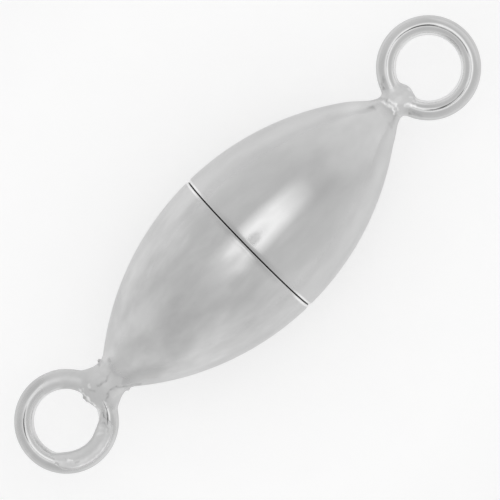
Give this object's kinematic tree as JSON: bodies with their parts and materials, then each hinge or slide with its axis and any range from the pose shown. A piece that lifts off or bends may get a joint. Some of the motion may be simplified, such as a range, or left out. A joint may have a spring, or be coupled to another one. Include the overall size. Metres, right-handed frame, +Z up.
{
  "type": "magnetic clasp",
  "caption": "Magnetic jewellery clasp: a hollow silver olive in two halves that pull apart at the middle, with a soldered ring eye at each tip.",
  "frame": {"origin": "midway between the ends of the two rings, on the surface that the closed clasp lies on", "axes": "+X along the clasp towards the socket half, the picture's upper right; +Z up, square to the rings; +Y across the clasp, the picture's upper left"},
  "size_m": [0.0282, 0.008, 0.008],
  "materials": {
    "polished_silver": "hand-polished sterling silver, softly uneven, with duller solder at the necks",
    "nickel_plating": "nickel plating with fine handling marks"
  },
  "bodies": {
    "plug_half": {"plug_shell": "polished_silver"},
    "magnet_core": {"plug_magnet": "nickel_plating"},
    "socket_half": {"socket_shell": "polished_silver", "socket_magnet": "nickel_plating"}
  },
  "joints": [
    {"name": "twist", "type": "hinge", "parent": "plug_half", "child": "magnet_core", "pos_m": [0, 0, 0.004], "axis": [1, 0, 0], "continuous": true},
    {"name": "pull_apart", "type": "slide", "parent": "magnet_core", "child": "socket_half", "axis": [1, 0, 0], "range_m": [0, 0.012]}
  ]
}
